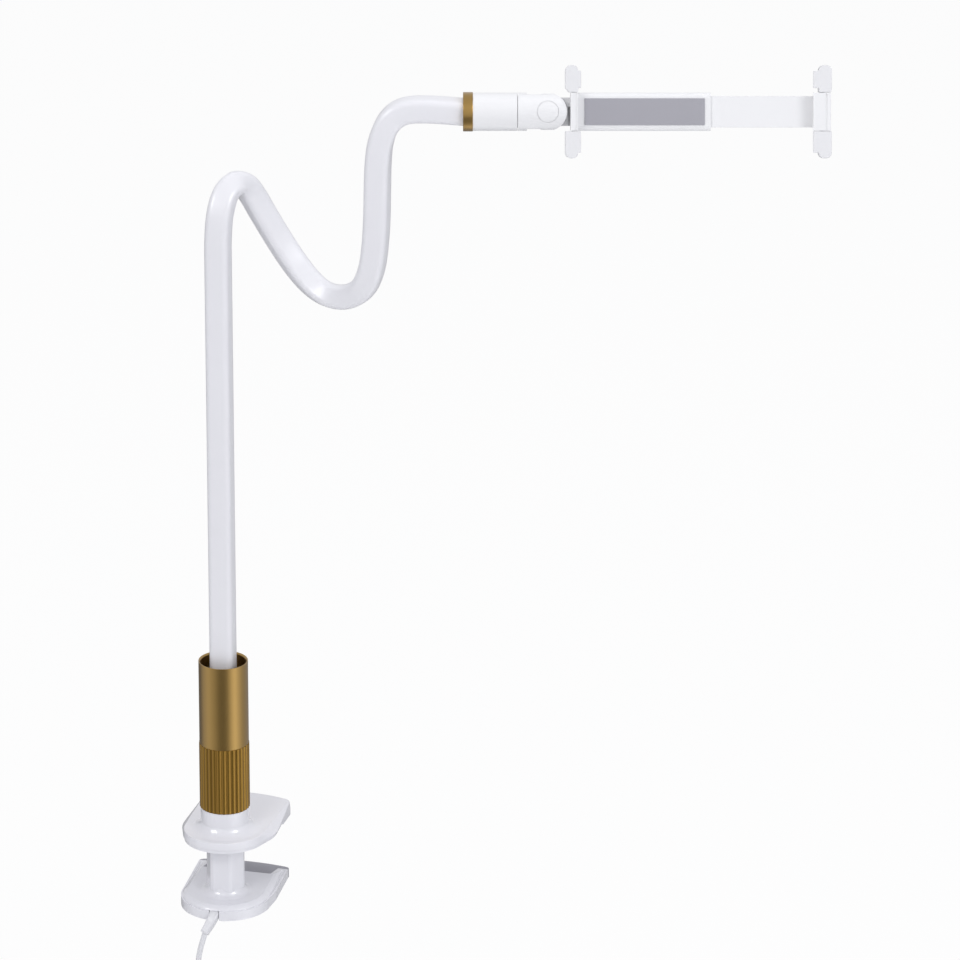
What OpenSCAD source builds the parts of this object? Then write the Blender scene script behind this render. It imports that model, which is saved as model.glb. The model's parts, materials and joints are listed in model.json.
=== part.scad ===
// Clamp-on gooseneck phone holder with a small light in its clamp.
// Millimetres, +Z up. The origin is on the post's axis, on the lower jaw's gripping plane.

/* [Desk clamp] */
// Turn of both jaws about the post, clockwise seen from above
jaw_yaw = 15; // [0:1:30]
// Clear height between the jaws' gripping planes
jaw_gap = 36.4; // [30:0.2:40]
// Radius of the upper jaw's round front
upper_front_r = 27; // [26:0.5:30]
// Half the upper jaw's width at its rear corners
upper_rear_half_w = 28.6; // [27:0.2:31]
// Half the upper jaw's width at its shoulders
upper_shoulder_w = 31; // [28:0.2:32]
// Half the width of the upper jaw's top face at its shoulders
upper_face_w = 27.2; // [26.5:0.1:28]
// Reach of the upper jaw behind the post's axis
upper_reach = 58.2; // [54:0.2:64]
// Thickness of the upper jaw at its front
upper_jaw_h = 7.3; // [6.5:0.1:9]
// Height of the upper jaw's inset lower cover
upper_cover_h = 2.5; // [2:0.1:3]
// Drop of the upper jaw's rear lip below its gripping plane
rear_lip_drop = 3.4; // [2:0.1:4]
// Radius of the lower tier's round front
lower_front_r = 28.8; // [28:0.2:31]
// Half the lower tier's width at its shoulders
lower_shoulder_half_w = 29.6; // [29:0.2:32]
// Half the lower tier's width at its right rear corner
lower_rear_half_w = 27.4; // [26:0.2:29]
// Half the lower tier's width at its left rear corner
lower_left_w = 32; // [28:0.2:33]
// Reach of the lower jaw behind the post's axis
lower_reach = 57; // [54:0.5:62]
// Height of the lower tier, which holds the light
light_tier_h = 6.3; // [6:0.1:8]
// Height of the upper tier of the lower jaw
top_tier_h = 2.9; // [2.6:0.1:4]
// Distance from the post's axis to the rubber pad's front edge
pad_start = 31; // [28:0.5:34]
// Fall of the lower jaw's top from the pad's front edge to its rear edge
tip_fall = 5; // [3:0.1:6]
// Radius of the jaws' rear corners
jaw_corner_r = 5; // [4:0.5:7]
// Radius of the jaws' bowed rear edges
jaw_rear_bow_r = 78; // [70:1:110]

/* [Post and screw] */
// Radius of the hexagonal post over its rounded corners
post_r = 12.2; // [11.5:0.1:12.6]
// Height of the post above the lower jaw
post_h = 58; // [56:0.5:60]
// Radius of the flare at the post's foot
post_flare_r = 6; // [4:0.5:8]
// Radius of the threaded stem
stem_r = 5; // [4:0.1:5.5]
// Height of the stem's top above the lower jaw
stem_top = 126; // [124:0.5:130]
// Radius of the flange under the stem
stem_flange_r = 8; // [7:0.1:9]
// Thickness of the flange under the stem
stem_flange_t = 1.2; // [1:0.1:1.4]

/* [Boss, knob and sleeve] */
// Height of the boss on the upper jaw
boss_h = 15.1; // [14:0.1:17]
// Radius of the boss at its top
boss_r = 15.5; // [15:0.1:16]
// Radius of the fillet between the boss and the jaw's top
boss_fillet_r = 8; // [6:0.5:9]
// Height of the fluted knob
knob_h = 44; // [40:0.5:50]
// Radius of the fluted knob
knob_r = 16; // [15.6:0.05:16.5]
// Number of flutes round the knob
flute_count = 30; // [24:1:32]
// Depth of each flute
flute_depth = 0.7; // [0.4:0.1:0.8]
// Length of the sleeve above the knob
sleeve_h = 56; // [50:0.5:62]
// Radius of the sleeve
sleeve_r = 15.7; // [15:0.1:15.8]
// Wall of the sleeve
sleeve_wall = 1.2; // [1:0.1:1.5]
// Length of the sleeve's seat inside the knob
sleeve_seat_h = 5; // [3:0.5:6]
// Height of the drive nut
nut_h = 12; // [10:0.5:14]
// Height of the nut's lower face above the knob's lower end
nut_seat_h = 34; // [33:0.5:36]
// Wall of the snap collar on the boss
collar_wall = 1; // [0.8:0.1:1.1]
// Height of the snap collar on the boss
collar_h = 4; // [3.5:0.5:6]
// Reach of the snap collar's bead
collar_bead = 0.5; // [0.3:0.1:0.6]

/* [Arm] */
// Height of the head's axis above the lower jaw's gripping plane
head_height = 529.5; // [500:0.5:560]
// Distance of the head's ring from the post's axis
head_reach = 151.9; // [135:0.1:170]
// Side of the arm's rounded square section
arm_side = 15.3; // [14:0.1:16]
// Corner radius of the arm's section
arm_corner_r = 4; // [3:0.1:5]
// Radius of the bendable rod inside the arm
core_r = 3; // [2:0.1:3.5]
// Radius of the ferrule at the arm's foot
foot_ferrule_r = 9.5; // [9:0.1:11]
// Depth of the stem in the foot ferrule
foot_socket_h = 10; // [8:0.5:12]
// Length of the foot ferrule above the stem's top
foot_ferrule_h = 12; // [10:0.5:16]
// Depth of the rod in each ferrule
core_seat = 9; // [6:0.5:9.5]

/* [Head] */
// Backward lean of the head and of the phone in it
head_lean = 18.7; // [0:0.1:40]
// Radius of the gold ring at the end of the arm
ring_r = 12.1; // [12:0.1:13]
// Length of the gold ring
ring_l = 6; // [4:0.1:8]
// Radius of the white socket and knuckle
head_r = 11.7; // [11.3:0.1:11.9]
// Length of the socket behind the swivel seam
socket_l = 27.3; // [26:0.1:34]
// Thickness of the socket's end wall, which carries the swivel
socket_web = 5; // [4:0.1:6]
// Radius of the swivel screw
swivel_r = 3; // [2:0.1:3.5]
// Distance from the swivel seam to the tilt pivot
pivot_from_seam = 18.7; // [18:0.1:22]
// Length of the knuckle's full round collar
knuckle_collar = 5.8; // [4:0.1:6.5]
// Half the height of the knuckle's flattened neck
neck_half_h = 10.6; // [10:0.1:11.2]
// Radius of the caps over the tilt pivot
cap_r = 6.5; // [5.5:0.1:7]
// Radius of the tilt pivot's pin
pivot_r = 2.5; // [2:0.1:3.5]
// Half the height of the tongue between the knuckle's ears
tongue_half_h = 8.7; // [8:0.1:9.2]
// Thickness of the tongue
tongue_t = 6; // [4:0.1:7]

/* [Phone holder] */
// Opening between the two jaws' pads
phone_opening = 147; // [140:0.5:155]
// Distance from the tilt pivot to the left pads' gripping faces
grip_from_pivot = 18.5; // [18:0.1:22]
// Depth left for the phone between the back bar and the lips
phone_depth = 8.2; // [7.5:0.1:12]
// Height of the back bar and of the jaws' middle bars
bar_h = 23.4; // [20:0.2:26]
// Thickness of the back bar
bar_t = 10; // [9:0.1:13]
// Wall of the hollow back bar
bar_wall = 1.8; // [1.4:0.1:2]
// Length of the hollow back bar
housing_l = 86; // [80:1:90]
// Length of the slider from the right jaw's face
slider_l = 97; // [92:1:100]
// Distance from the middle to the pads' outer ends
pad_top = 28.5; // [26:0.5:32]
// Height of the neck by which each upper pad meets its jaw
pad_neck = 2.6; // [1.5:0.1:4]
// Thickness of each pad along the phone
pad_t = 8; // [7:0.1:10]
// Thickness of the left jaw's upright
upright_t = 4.4; // [4:0.1:5]
// Thickness of the right jaw's upright
far_upright_t = 7.2; // [6:0.1:8]
// Reach of the left pads' lips over the phone's front
lip_reach = 1.7; // [1:0.1:3]
// Reach of the right jaw's lips over the phone's front
far_lip_reach = 3.4; // [2:0.1:4]
// Thickness of the lips in front of the phone
lip_t = 2; // [1.5:0.1:3]

/* [Cord] */
// Diameter of the light's cord
cord_d = 3.6; // [3.2:0.1:4]
// Turns beside each other in the coil
coil_columns = 5; // [4:1:6]
// Mean radius of the coil's inner layer of turns
coil_inner_r = 20.4; // [19:0.2:22]
// Width of the plug's moulded body
plug_w = 15.5; // [14:0.5:17]
// Length of the plug's moulded body
plug_l = 27; // [22:0.5:32]

/* [Fits] */
// Gap between pieces that are screwed or pressed together
seat_gap = 0.05; // [0.03:0.01:0.1]
// Radial gap between a shaft and its bore
run_gap = 0.05; // [0.03:0.01:0.09]
// Gap between pieces that pass each other
pass_gap = 0.3; // [0.25:0.05:0.35]

/* [Hidden] */
$fn = 64;
eps = 0.01;
cut_w = 100;
cut_half_w = cut_w / 2;
white = [0.93, 0.93, 0.94];
grey = [0.55, 0.55, 0.57];
gold = [0.72, 0.56, 0.28];
steel = [0.7, 0.7, 0.72];

// Heights of the clamp's levels, from the lower jaw's gripping plane
light_top = -top_tier_h;
jaw_bottom = -top_tier_h - light_tier_h;
upper_bottom = jaw_gap;
upper_seam = upper_bottom + upper_cover_h;
upper_top = upper_bottom + upper_jaw_h;
boss_top = upper_top + boss_h;
knob_top = boss_top + knob_h;
sleeve_top = knob_top + sleeve_h;
nut_bottom = boss_top + nut_seat_h;
nut_top = nut_bottom + nut_h;

// Outlines of the tiers as discs [x, y, r] from the front to the rear corner
shoulder_y = 12;
face_draft = 0.4;
upper_rears = [upper_rear_half_w, upper_rear_half_w];
upper_discs = jaw_discs(upper_front_r, [upper_shoulder_w, upper_shoulder_w], upper_rears, upper_reach);
upper_face_rear_w = upper_rear_half_w - face_draft;
upper_face_discs = jaw_discs(
    upper_front_r - face_draft, [upper_face_w, upper_face_w],
    [upper_face_rear_w, upper_face_rear_w], upper_reach - face_draft
);
lower_discs = jaw_discs(
    lower_front_r, [lower_shoulder_half_w, lower_shoulder_half_w],
    [lower_rear_half_w, lower_left_w], lower_reach
);
top_tier_inset = 1;
top_tier_rear_inset = 3.6;
top_shoulder_w = lower_front_r - top_tier_inset - 0.4;
top_tier_discs = jaw_discs(
    lower_front_r - top_tier_inset, [top_shoulder_w, top_shoulder_w],
    [lower_rear_half_w - top_tier_rear_inset, lower_left_w - top_tier_rear_inset], lower_reach
);
edge_round = 1.2;
cover_inset = 0.9;
deck_t = 0.8;
tier_shoulder = 3.4;
tier_edge_h = 0.5;
tip_start = 47;
tip_gap = 0.1;
insert_half_w = 20.5;
insert_left_w = 24.5;
insert_depth = 1.9;
top_slope = tip_fall / (lower_reach - pad_start);

// The light's tray, its board and its screws
tray_wall = 1.6;
tray_floor = 1.4;
ledge_w = 1.6;
board_t = 1;
board_seat = jaw_bottom + tray_floor + 1.3;
board_reach = 43;
led_size = [3.5, 2.8, 0.8];
backing_h = light_top - board_seat - board_t - 0.2;
tray_rear_wall = 2;
led_ring_r = 13;
led_ring_y = 4;
led_count = 8;
screw_r = 1.25;
screw_head_r = 2.4;
screw_head_h = 1.4;
screw_post_r = 3.4;
base_screw_spots = [[-18, 14], [18, 14], [0, 25]];
cover_screw_spots = [[-18.5, -6], [18.5, -6], [0, 24]];

// The post, the boss and what turns on them
hex_over = 1.06;
post_bore_r = stem_r + seat_gap;
key_gap = 0.1;
collar_r = post_r + 0.15 + collar_wall;
bead_h = 1;
knob_bore_r = post_r + pass_gap;
washer_t = 0.8;
washer_in_r = collar_r + run_gap + 0.1;
washer_out_r = boss_r - 0.9;
washer_sink = 0.5;
knob_root_r = knob_r - flute_depth;
rib_turn = 180 / flute_count;
rib_r = (knob_root_r * knob_root_r + knob_r * knob_r - 2 * knob_r * knob_root_r * cos(rib_turn))
    / (2 * (knob_r - knob_root_r * cos(rib_turn)));
sleeve_in_r = sleeve_r - sleeve_wall;
sleeve_seat_r = sleeve_in_r;
nut_r = 12.9;
nut_bottom_to_sleeve = knob_top - sleeve_seat_h + seat_gap - nut_bottom;
nut_flange_r = 13.4;
nut_flange_t = nut_bottom_to_sleeve - seat_gap;

// The arm's route as [x, y, height above the arm's foot, roll of the section]
skin_foot = stem_top + foot_ferrule_h;
arm_steps = [
    [0, 0, 0, -15], [0, 0, 140, -15], [0, 0, 260, -15], [0, 0, 285, -15], [0.2, 0.3, 304, -15],
    [1.6, 2.2, 319, -16], [5, 8, 329.5, -20], [10.5, 15, 333.6, -24], [16.5, 21, 330.8, -27],
    [21.5, 24.8, 322.5, -28],
    [27.5, 27, 310.5, -28], [36.5, 28, 294, -28], [46, 25.8, 279.3, -28],
    [55.2, 20.5, 269, -27], [64.6, 13.8, 263.2, -25], [74, 7, 262.4, -22],
    [83.2, 0, 266.2, -20], [90.7, -6, 274.4, -18], [95.5, -10, 288, -16],
    [97.8, -13, 306, -15], [98.8, -15, 324, -15], [99.2, -16, 342, -14],
    [99.7, -16, 358, -12], [101.2, -16, 371, -9], [105, -16, 382.2, -6], [111, -16, 389.4, -3],
    [119, -16, 392.6, -1], [130, -16, 393, 0], [141, -16, 392.4, 0], [151.9, -16, 391.5, 0]
];
arm_last = arm_steps[len(arm_steps) - 1];
arm_widen = head_reach / arm_last.x;
arm_lift = (head_height - skin_foot) / arm_last.z;
arm_points = [for (p = arm_steps) [p.x * arm_widen, p.y, p.z * arm_lift + skin_foot]];
arm_rolls = [for (p = arm_steps) p[3]];
arm_end = arm_points[len(arm_points) - 1];
arm_tail = 11;
skin_route = concat(arm_points, [arm_end + [arm_tail, 0, 0]]);
skin_rolls = concat(arm_rolls, [0]);
ring_steps = 3;
section_arc_steps = 3;
core_sides = 8;
channel_gap = 0.25;
channel_sides = 12;
section_half_diagonal = (arm_side / 2 - arm_corner_r) * sqrt(2) + arm_corner_r;

// Stations along the head's axis, from the end of the bent arm
head_pos = arm_end;
socket_x = ring_l;
seam_x = socket_x + socket_l;
arm_bore_r = section_half_diagonal + 0.12;
socket_cavity_x = seam_x - socket_web;
ferrule_l = core_seat + 1.5;
ferrule_x = arm_tail;
swivel_head_r = 5.5;
swivel_head_t = 2.2;
swivel_washer_t = 0.5;
swivel_bite = 6;
spigot_r = 9.6;
spigot_l = 1.2;
knuckle_x = seam_x + pass_gap;
pivot_x = seam_x + pivot_from_seam;
eye_slot = tongue_t / 2 + 0.6;
slot_root_x = pivot_x - tongue_half_h - 0.45;
cap_seat = 8.6;
pin_head_r = 4;
pin_head_t = 1.6;
tilt_washer_t = 0.3;

// Stations of the phone holder: y is depth behind the knuckle's axis, less is nearer
grip_x = pivot_x + grip_from_pivot;
far_grip_x = grip_x + phone_opening;
bar_front = -4.2;
back_pad_t = 1;
phone_back = bar_front - back_pad_t;
lip_back = phone_back - phone_depth;
lip_front = lip_back - lip_t;
bar_back = bar_front + bar_t;
face_gap = 0.3;
housing_x = grip_x - upright_t - face_gap;
cover_t = 1.6;
slider_t = bar_t - bar_wall - cover_t - 2 * pass_gap;
slider_h = bar_h - 2 * bar_wall - 2 * pass_gap;
slider_y = bar_front + bar_wall + pass_gap;
slider_x = far_grip_x - slider_l;
pad_back = 1.5;
pad_round = 3.4;
pad_gap = 0.15;
pad_taper = 2.2;
pad_foot = 0.4;
groove_w = 0.9;
groove_depth = 0.6;
slit_w = 1.2;
slit_top = 3;
plate_x = 0.9;
plate_t = 3;
plate_inset = 3;
end_wall = 6;
cover_start = 1.2;
cover_screw_x = 3.7;
cover_screw_z = 6.5;
bar_corner_r = 3.5;
back_pad_inset = 4;
shoe_size = [8, 1 + pass_gap - 0.05, 8];
shoe_sink = 1;
shoe_from_end = 4;

// The cord's route, by hand, from the relief to the coil and from the coil to the plug
cord_route = [
    [-12, -32.7, -14], [-13.4, -33.6, -18], [-14.9, -34, -23], [-16.2, -34, -28.5],
    [-17, -34, -34], [-17.2, -34, -40], [-17.2, -34, -48], [-17.2, -34, -60]
];
cord_tail = [
    [-13.5, -36.2, -66], [-13.6, -37.5, -70], [-13.6, -37.7, -76], [-13.6, -37.7, -95], [-13.6, -37.7, -114]
];
cord_sides = 8;
coil_outer_r = coil_inner_r + cord_d;
coil_center = [-17.2 + coil_outer_r, -34 + (coil_columns - 1) * cord_d / 2, -71];
coil_half_w = coil_columns * cord_d / 2 + 0.2;
coil_min_r = coil_inner_r - cord_d / 2 - 0.1;
coil_max_r = coil_outer_r + cord_d / 2 + 0.1;
tie_t = 1;
tie_w = 9;
tie_turn = 45;
plug_t = 7.6;
shell_size = [12, 4.5, 12.5];
shell_wall = 0.5;
relief_root = [-6.9, -25.4, -6.1];
relief_tip = [-12.2, -32.8, -14.4];
relief_root_r = 2.85;
relief_tip_r = 2.3;

// Discs that bound a jaw's right and left half: the round front, the shoulder and the rear corner
function jaw_discs(front_r, shoulders, rears, reach) = [for (k = [0, 1])
    let (corner_x = rears[k] - jaw_corner_r,
         bow = jaw_rear_bow_r - jaw_corner_r,
         corner_y = reach - jaw_rear_bow_r + sqrt(bow * bow - corner_x * corner_x))
    [
        [0, 0, front_r], [0, shoulder_y, shoulders[k]], [corner_x, corner_y, jaw_corner_r],
        [0, reach - jaw_rear_bow_r, jaw_rear_bow_r]
    ]
];
function inset(halves, e) = [for (discs = halves) [for (d = discs) [d.x, d.y, d.z - e]]];

// Right side of the band between two discs, along their common outer tangent
function band(a, b) =
    let (d = [b.x - a.x, b.y - a.y],
         turn = atan2(d.y, d.x) - acos((a.z - b.z) / norm(d)),
         n = [cos(turn), sin(turn)])
    [[0, a.y], [a.x, a.y] + a.z * n, [b.x, b.y] + b.z * n, [b.x, b.y], [0, b.y]];

// Smooth curve through the points: Catmull-Rom, with steps pieces to each span
function spline_at(p, i, t) =
    let (a = p[max(i - 1, 0)], b = p[i], c = p[i + 1], d = p[min(i + 2, len(p) - 1)])
    b + 0.5 * t * (c - a + t * (2 * a - 5 * b + 4 * c - d + t * (3 * (b - c) + d - a)));
function smooth(p, steps) = concat(
    [for (i = [0 : len(p) - 2]) for (k = [0 : steps - 1]) spline_at(p, i, k / steps)],
    [p[len(p) - 1]]
);
function unit(v) = v / norm(v);
function tangent(p, i) = unit(p[min(i + 1, len(p) - 1)] - p[max(i - 1, 0)]);

// Two axes across a tube at point i: towards the front, and to its left
function across(p, i, roll) =
    let (t = tangent(p, i),
         front = unit([0, -1, 0] + t.y * t),
         side = cross(t, front))
    [cos(roll) * front + sin(roll) * side, cos(roll) * side - sin(roll) * front];

// Section points: a circle, and a square with rounded corners
function ring_points(r, sides) = [for (k = [0 : sides - 1]) r * [cos(360 * k / sides), sin(360 * k / sides)]];
function square_points(side, corner, steps) = [
    for (q = [0 : 3]) for (k = [0 : steps])
        let (a = 90 * (q + k / steps), c = (side / 2 - corner) * [cos(90 * q + 45), sin(90 * q + 45)] * sqrt(2))
        c + corner * [cos(a), sin(a)]
];
function placed(p, rolls, section) = [
    for (i = [0 : len(p) - 1]) let (ax = across(p, i, rolls[i])) for (s = section) p[i] + s.x * ax[0] + s.y * ax[1]
];

// A solid swept along route
module swept(route, rolls, section) {
    n = len(section);
    last = len(route) - 1;
    polyhedron(
        placed(route, rolls, section),
        concat(
            [[for (k = [0 : n - 1]) k]],
            [for (i = [0 : last - 1]) for (k = [0 : n - 1]) [
                i * n + k, (i + 1) * n + k, (i + 1) * n + (k + 1) % n, i * n + (k + 1) % n
            ]],
            [[for (k = [n - 1 : -1 : 0]) last * n + k]]
        ),
        convexity = 10
    );
}

module at_jaws() {
    rotate([0, 0, -jaw_yaw]) children();
}

module at_head() {
    translate(head_pos) rotate([-head_lean, 0, 0]) children();
}

// A cylinder along +X from x, and one along +Y from y
module along_x(x, l, r) {
    translate([x, 0, 0]) rotate([0, 90, 0]) cylinder(h = l, r = r);
}

module along_y(x, y, l, r) {
    translate([x, y, 0]) rotate([-90, 0, 0]) cylinder(h = l, r = r);
}

module half_outline(discs) {
    corner = discs[2];
    bow = discs[3];
    intersection() {
        union() {
            for (k = [0 : 2]) translate([discs[k].x, discs[k].y]) circle(discs[k].z);
            for (k = [0, 1]) polygon(band(discs[k], discs[k + 1]));
        }
        translate([-eps, -cut_w]) square([cut_w, 2 * cut_w]);
    }
    intersection() {
        translate([bow.x, bow.y]) circle(bow.z, $fn = 180);
        translate([-eps, 0]) square([corner.x * 1.06, bow.y + bow.z + 1]);
    }
}

module jaw_outline(halves) {
    half_outline(halves[0]);
    mirror([1, 0]) half_outline(halves[1]);
}

module slab(discs, z, h) {
    translate([0, 0, z]) linear_extrude(h) jaw_outline(discs);
}

// The lower jaw's top falls towards its rear edge: what lies above it
module above_tip(lift = 0) {
    far = lower_reach + 10;
    rotate([90, 0, 90]) translate([0, 0, -cut_half_w]) linear_extrude(cut_w) polygon([
        [pad_start, lift], [far, lift - (far - pad_start) * top_slope], [far, 10], [pad_start, 10]
    ]);
}

// Room for the rubber insert, which lies along the fall of the jaw's top
module pad_insert(grow) {
    start = pad_start - grow;
    end = tip_start + 1;
    fall = (end - start) * top_slope;
    depth = insert_depth + grow;
    width = insert_left_w + insert_half_w + 2 * grow;
    rotate([90, 0, 90]) translate([0, 0, -insert_left_w - grow]) linear_extrude(width)
        polygon([[start, 1], [start, -depth], [end, -depth - fall], [end, 1]]);
}

// Block under the rubber insert, inside the tray's rim
module insert_backing() {
    difference() {
        intersection() {
            slab(inset(lower_discs, tray_wall + 0.1), light_top - backing_h, backing_h + eps);
            translate([-cut_half_w, pad_start - 2, -20])
                cube([cut_w, tip_start - tray_rear_wall - 0.1 - pad_start + 2, 40]);
        }
        above_tip();
        pad_insert(tip_gap);
    }
}

// Flange that closes the tray's mouth inside its walls
module deck() {
    difference() {
        intersection() {
            slab(inset(lower_discs, tray_wall + 0.1), light_top - deck_t, deck_t + eps);
            translate([-cut_half_w, -50, -20]) cube([cut_w, 50 + tip_start - tray_rear_wall - 0.1, 40]);
        }
        above_tip();
        pad_insert(tip_gap);
    }
}

module hex_post(h, grow) {
    intersection() {
        cylinder(h = h, r = (post_r + grow) * hex_over, $fn = 6);
        cylinder(h = h, r = post_r + grow);
    }
}

module fillet_ring(r, round_r) {
    rotate_extrude() difference() {
        square([r + round_r, round_r]);
        translate([r + round_r, round_r]) circle(round_r);
    }
}

// Upper tier of the lower jaw with its hexagonal post
module lower_jaw() color(white) at_jaws() difference() {
    union() {
        difference() {
            hull() {
                slab(top_tier_discs, light_top, tier_edge_h);
                slab(inset(top_tier_discs, tier_shoulder * 0.35), light_top + top_tier_h * 0.6, 0.1);
                slab(inset(top_tier_discs, tier_shoulder), -0.1, 0.1);
            }
            above_tip();
            pad_insert(tip_gap);
            translate([-cut_half_w, tip_start, -20]) cube([cut_w, 50, 40]);
        }
        fillet_ring(post_r - 1, post_flare_r);
        hex_post(post_h, 0);
        for (s = base_screw_spots) translate([s.x, s.y, light_top - 1]) cylinder(h = 1 + eps, r = screw_post_r - 0.8);
        insert_backing();
        deck();
    }
    relief_slot(light_top - 2, 2);
    translate([0, 0, light_top - 2]) cylinder(h = 2, r = stem_flange_r + pass_gap);
    translate([0, 0, jaw_bottom]) cylinder(h = post_h + 20, r = post_bore_r);
    for (s = base_screw_spots) translate([s.x, s.y, light_top - 2]) cylinder(h = 3.6, r = screw_r + seat_gap);
}

// Room in the tray above z, with a wall of e round it and across its rear
module tray_room(e, z) {
    intersection() {
        slab(inset(lower_discs, e), z, 20);
        translate([-cut_half_w, -50, z - 1]) cube([cut_w, 50 + tip_start - tray_rear_wall, 30]);
    }
}

// White tray under the jaw: the light shines out through its floor
module light_cover() color(white) at_jaws() difference() {
    union() {
        difference() {
            slab(lower_discs, jaw_bottom, light_tier_h);
            tray_room(tray_wall, board_seat);
            tray_room(tray_wall + ledge_w, jaw_bottom + tray_floor);
        }
        for (s = base_screw_spots) translate([s.x, s.y, jaw_bottom])
            cylinder(h = light_tier_h - 1 - seat_gap, r = screw_post_r);
    }
    translate([-cut_half_w, tip_start, -20]) cube([cut_w, 50, 40]);
    above_tip();
    for (s = base_screw_spots) translate([s.x, s.y, jaw_bottom - 1]) {
        cylinder(h = 20, r = screw_r + seat_gap);
        cylinder(h = 1 + screw_head_h + 0.4, r = screw_head_r + 0.2);
    }
    relief_slot(jaw_bottom - 1, light_tier_h + 2);
    pad_insert(tip_gap);
}

module led_board() color("darkgreen") at_jaws() difference() {
    intersection() {
        slab(inset(lower_discs, tray_wall + pass_gap), board_seat, board_t);
        translate([-cut_half_w, -50, -20]) cube([cut_w, 50 + board_reach, 40]);
    }
    for (s = base_screw_spots) translate([s.x, s.y, -20]) cylinder(h = 40, r = screw_post_r + pass_gap);
    translate([0, 0, -20]) cylinder(h = 40, r = stem_flange_r + 1);
    rotate([0, 0, jaw_yaw]) translate(relief_root - [0, 19, 0]) cube([9, 44, 9], center = true);
}

module leds() color("khaki") at_jaws() for (k = [0 : led_count - 1]) {
    a = 360 * (k + 0.5) / led_count;
    translate([led_ring_r * cos(a), led_ring_y + led_ring_r * sin(a), board_seat - led_size.z])
        translate([-led_size.x / 2, -led_size.y / 2, 0]) cube(led_size);
}

// Rubber over the jaw's tip, with the flush insert on its top
module lower_jaw_pad() color(grey) at_jaws() difference() {
    intersection() {
        slab(lower_discs, jaw_bottom, light_tier_h + top_tier_h);
        union() {
            translate([-cut_half_w, tip_start + tip_gap, -20]) cube([cut_w, 50, 40]);
            difference() {
                pad_insert(0);
                translate([-cut_half_w, tip_start + 1, -40]) cube([cut_w, 90, 80]);
            }
        }
    }
    above_tip();
}

module machine_screw(l) {
    translate([0, 0, -screw_head_h]) difference() {
        cylinder(h = screw_head_h, r = screw_head_r);
        translate([-screw_head_r, -0.3, -1]) cube([2 * screw_head_r, 0.6, 1.6]);
    }
    cylinder(h = l, r = screw_r);
}

module base_screws() color(steel) at_jaws() for (s = base_screw_spots)
    translate([s.x, s.y, jaw_bottom + screw_head_h + 0.4]) machine_screw(light_tier_h - screw_head_h - 0.4 + 1.2);

// Threaded stem: flange under the jaw, thread through the post and the nut
module clamp_screw() color(steel) {
    translate([0, 0, light_top - stem_flange_t]) cylinder(h = stem_flange_t, r = stem_flange_r);
    translate([0, 0, light_top - eps]) cylinder(h = stem_top - light_top + eps, r = stem_r);
}

module foot_ferrule() color(steel) difference() {
    bottom = stem_top - foot_socket_h;
    translate([0, 0, bottom]) cylinder(h = skin_foot - bottom, r = foot_ferrule_r);
    translate([0, 0, bottom - 1]) cylinder(h = foot_socket_h + 1, r = stem_r + seat_gap);
    translate([0, 0, skin_foot - core_seat - seat_gap]) cylinder(h = 20, r = core_r + seat_gap);
}

module arm_core() color(steel) {
    route = smooth(skin_route, ring_steps);
    rolls = smooth(skin_rolls, ring_steps);
    swept(
        concat([[0, 0, skin_foot - core_seat]], route, [arm_end + [arm_tail + core_seat, 0, 0]]),
        concat([rolls[0]], rolls, [0]), ring_points(core_r, core_sides)
    );
}

// Soft white skin: a rounded square outside, a round channel for the rod inside
module arm_skin() color(white) {
    route = smooth(skin_route, ring_steps);
    rolls = smooth(skin_rolls, ring_steps);
    outer = square_points(arm_side, arm_corner_r, section_arc_steps);
    hole = ring_points(core_r + channel_gap, channel_sides);
    difference() {
        swept(route, rolls, outer);
        swept(lengthened(route), lengthened_rolls(rolls), hole);
    }
}
function lengthened(p) = concat([p[0] - tangent(p, 0)], p, [p[len(p) - 1] + tangent(p, len(p) - 1)]);
function lengthened_rolls(r) = concat([r[0]], r, [r[len(r) - 1]]);

module head_ferrule() color(steel) at_head() difference() {
    along_x(ferrule_x + pass_gap, ferrule_l, arm_bore_r - 0.2);
    along_x(ferrule_x - 1, core_seat + 1 + seat_gap, core_r + seat_gap);
}

module head_ring() color(gold) at_head() difference() {
    along_x(0, ring_l, ring_r);
    along_x(-1, ring_l + 2, arm_bore_r);
}

module head_socket() color(white) at_head() difference() {
    along_x(socket_x, socket_l, head_r);
    along_x(socket_x - 1, socket_l + 1 - socket_web, arm_bore_r);
    along_x(socket_x - 1, socket_l + 2, swivel_r + run_gap);
    along_x(seam_x - spigot_l - pass_gap, spigot_l + pass_gap + 1, spigot_r + run_gap);
}

// The cord's moulded relief, leaving the seam at the front and turning down
module relief_shape() {
    elbow = relief_root + [0, -3.6, 0];
    hull() for (p = [relief_root, elbow]) relief_end(p, relief_root_r);
    hull() {
        relief_end(elbow, relief_root_r);
        relief_end(relief_tip, relief_tip_r);
    }
}

module relief_end(p, r) {
    translate(p) for (x = [-1, 1], z = [-1, 1]) translate([x, 0, z] * r * 0.4) sphere(r * 0.6, $fn = 12);
}

// Slot for the relief through the tray's front wall, in the jaws' own frame
module relief_slot(z, h) {
    half_w = relief_root_r + 0.3;
    rotate([0, 0, jaw_yaw]) translate([relief_root.x - half_w, relief_root.y - 16, z])
        cube([2 * half_w, 20, h]);
}

module strain_relief() color(white) relief_shape();

module cord() color(white) {
    route = smooth(cord_route, 2);
    tail = smooth(cord_tail, 2);
    flat = [for (p = route) 0];
    swept(route, flat, ring_points(cord_d / 2, cord_sides));
    swept(tail, flat, ring_points(cord_d / 2, cord_sides));
}

module bundle(r_in, r_out, half_w) {
    rotate([90, 0, 0]) rotate_extrude($fn = 48)
        translate([r_in, -half_w]) square([r_out - r_in, 2 * half_w]);
}

module cord_coil() color(white) translate(coil_center) bundle(coil_min_r, coil_max_r, coil_half_w);

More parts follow.
